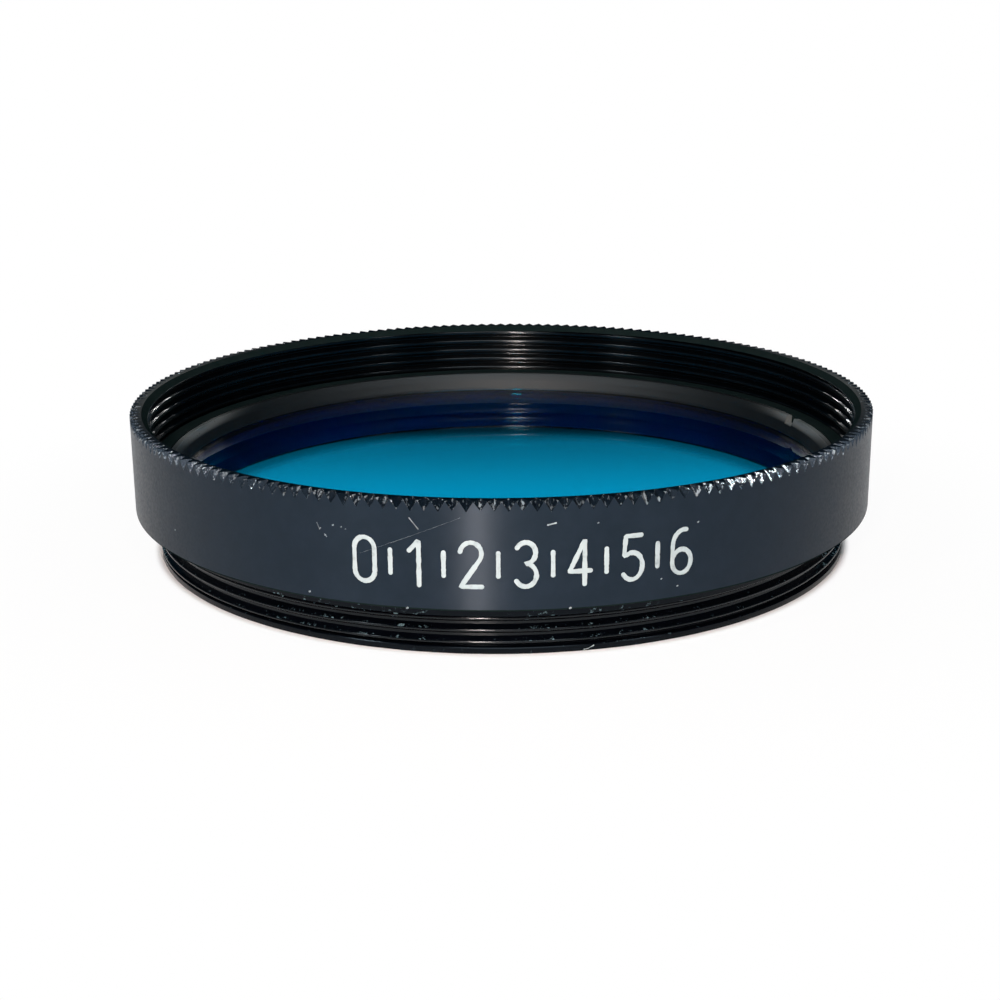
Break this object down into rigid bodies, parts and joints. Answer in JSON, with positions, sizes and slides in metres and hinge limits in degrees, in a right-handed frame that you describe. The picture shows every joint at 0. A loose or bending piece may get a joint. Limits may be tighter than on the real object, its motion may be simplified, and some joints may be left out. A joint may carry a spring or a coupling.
{
  "type": "lens colour filter",
  "caption": "Screw-in round colour filter for a camera lens: blue glass in a low black ring with a notched grip edge, a rear thread and a front thread.",
  "frame": {"origin": "on the ring's axis, in the plane of the rear lip that the part stands on", "axes": "+Z along the axis, from the rear thread to the notched front rim; +X and +Y across, with the marked side towards -Y"},
  "size_m": [0.052, 0.052, 0.01],
  "materials": {
    "ring_metal": "satin black anodised",
    "blue_glass": "polished, coloured through",
    "retainer_metal": "matte black anodised"
  },
  "bodies": {
    "root": {"mount_ring": "ring_metal", "filter_glass": "blue_glass", "retaining_ring": "retainer_metal"}
  },
  "joints": []
}
